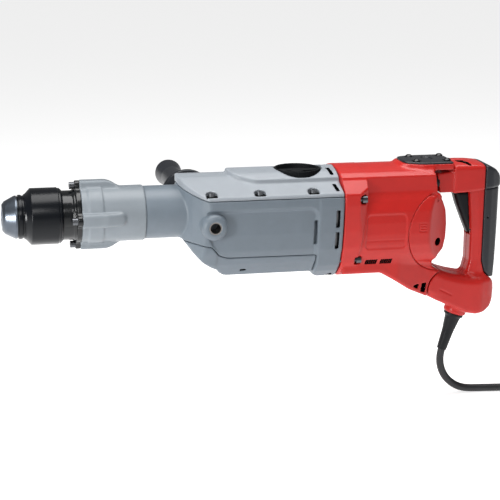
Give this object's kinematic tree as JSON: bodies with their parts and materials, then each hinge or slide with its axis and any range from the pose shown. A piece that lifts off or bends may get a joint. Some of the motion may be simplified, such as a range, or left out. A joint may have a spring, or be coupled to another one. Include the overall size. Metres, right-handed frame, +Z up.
{
  "type": "rotary hammer",
  "caption": "Heavy in-line electric rotary hammer: lobed barrel, sliding lock sleeve, grey gear housing, red motor housing, damped D-handle, side handle and coiled mains cord.",
  "frame": {"origin": "on the drill axis, at the middle of the clamping neck between the front housing and the gear housing", "axes": "X along the drill axis, with the tool mouth towards -X and the rear handle towards +X; Z up; the side handle points to +Y"},
  "size_m": [0.8252, 0.338, 0.3116],
  "materials": {
    "steel": "ground steel",
    "black_steel": "gloss black oxide",
    "grey_cast": "satin grey enamel on cast magnesium",
    "light_grey_cast": "satin light grey enamel",
    "red_plastic": "fine grained red polyamide",
    "black_rubber": "fine grained black elastomer",
    "black_plastic": "black polyamide",
    "screw": "black oxide steel",
    "gear_steel": "machined gear steel",
    "aluminium": "die cast aluminium",
    "copper": "copper",
    "spring_steel": "spring steel",
    "carbon": "carbon",
    "cord_rubber": "black rubber sheath"
  },
  "bodies": {
    "hammer_body": {"retainer_flange": "black_steel", "flange_screws": "screw", "front_housing": "light_grey_cast", "spindle_bearings": "steel", "gear_housing": "grey_cast", "lower_cover": "grey_cast", "top_cover": "light_grey_cast", "cover_screws": "screw", "boss_inserts": "steel", "side_handle_stud": "steel", "side_handle_grip": "black_plastic", "gear_frame": "aluminium", "shaft_bearings": "steel", "bearing_plate": "aluminium", "motor_bearings": "steel", "stator_core": "gear_steel", "field_coils": "copper", "brush_holders": "black_plastic", "carbon_brushes": "carbon", "motor_housing": "red_plastic", "rear_cap": "red_plastic", "housing_screws": "screw", "top_plate": "black_rubber", "plate_screws": "screw", "guide_rods": "steel"},
    "spindle": {"tool_holder": "steel", "dust_cap": "black_steel", "front_ring": "black_steel", "cylinder_tube": "steel", "spindle_gear": "gear_steel"},
    "sleeve": {"chuck_sleeve": "black_steel", "sleeve_spring": "spring_steel"},
    "roller_top": {"lock_roller_top": "steel"},
    "roller_bottom": {"lock_roller_bottom": "steel"},
    "impact_bolt": {"impact_bolt": "steel"},
    "ram": {"ram": "steel"},
    "piston": {"piston": "aluminium", "wrist_pin": "steel"},
    "con_rod": {"con_rod": "aluminium"},
    "crank": {"crankshaft": "steel", "crank_gear": "gear_steel"},
    "jack": {"jack_shaft": "gear_steel", "jack_gear": "gear_steel"},
    "armature": {"armature_shaft": "steel", "armature_core": "gear_steel", "commutator": "copper", "fan": "black_plastic"},
    "selector": {"selector_knob": "black_plastic"},
    "rear_handle": {"handle_left": "red_plastic", "handle_right": "red_plastic", "grip_cap": "black_rubber", "rubber_grip": "black_rubber", "damper_rings": "black_rubber", "trigger_pin": "steel", "switch_body": "black_plastic", "strain_relief": "black_rubber", "cord_run": "cord_rubber", "cord_coil": "cord_rubber", "plug": "black_rubber"},
    "trigger": {"trigger": "black_plastic"}
  },
  "joints": [
    {"name": "armature_spin", "type": "hinge", "parent": "hammer_body", "child": "armature", "pos_m": [0.25, 0, -0.028], "axis": [1, 0, 0], "continuous": true},
    {"name": "crank_spin", "type": "hinge", "parent": "hammer_body", "child": "crank", "pos_m": [0.125, 0, -0.04], "axis": [0, 0, 1], "continuous": true},
    {"name": "jack_spin", "type": "hinge", "parent": "hammer_body", "child": "jack", "pos_m": [0.08, 0, -0.04], "axis": [0, 0, 1], "continuous": true},
    {"name": "spindle_spin", "type": "hinge", "parent": "hammer_body", "child": "spindle", "pos_m": [-0.05, 0, 0], "axis": [1, 0, 0], "continuous": true},
    {"name": "sleeve_slide", "type": "slide", "parent": "spindle", "child": "sleeve", "axis": [1, 0, 0], "range_m": [0, 0.007], "stiffness_N_per_m": 3000, "springref_m": -0.002, "deforming": ["sleeve_spring"]},
    {"name": "roller_top_slide", "type": "slide", "parent": "spindle", "child": "roller_top", "axis": [0, 0, 1], "range_m": [0, 0.0014]},
    {"name": "roller_bottom_slide", "type": "slide", "parent": "spindle", "child": "roller_bottom", "axis": [0, 0, -1], "range_m": [0, 0.0014]},
    {"name": "impact_bolt_slide", "type": "slide", "parent": "spindle", "child": "impact_bolt", "axis": [1, 0, 0], "range_m": [-0.005, 0]},
    {"name": "ram_slide", "type": "slide", "parent": "spindle", "child": "ram", "axis": [1, 0, 0], "range_m": [-0.01, 0.012]},
    {"name": "piston_slide", "type": "slide", "parent": "hammer_body", "child": "piston", "axis": [1, 0, 0], "range_m": [0, 0.024]},
    {"name": "con_rod_swing", "type": "hinge", "parent": "piston", "child": "con_rod", "pos_m": [0.046, 0, 0], "axis": [0, 0, 1], "range_deg": [-10, 10]},
    {"name": "selector_turn", "type": "hinge", "parent": "hammer_body", "child": "selector", "pos_m": [0.169, 0, 0.04], "axis": [0, 0, 1], "range_deg": [0, 90]},
    {"name": "handle_damper", "type": "slide", "parent": "hammer_body", "child": "rear_handle", "axis": [1, 0, 0], "range_m": [-0.0015, 0], "stiffness_N_per_m": 30000, "deforming": ["damper_rings"]},
    {"name": "trigger_pull", "type": "hinge", "parent": "rear_handle", "child": "trigger", "pos_m": [0.3925, 0, -0.037], "axis": [0, 1, 0], "range_deg": [0, 8], "stiffness_Nm_per_rad": 2, "springref_deg": -2.86}
  ],
  "couplings": [
    {"joint": "crank_spin", "follows": "armature_spin", "ratio": 0.16667},
    {"joint": "jack_spin", "follows": "armature_spin", "ratio": -0.16667},
    {"joint": "spindle_spin", "follows": "armature_spin", "ratio": 0.041667},
    {"joint": "roller_top_slide", "follows": "sleeve_slide", "ratio": 0.2},
    {"joint": "roller_bottom_slide", "follows": "sleeve_slide", "ratio": 0.2}
  ]
}
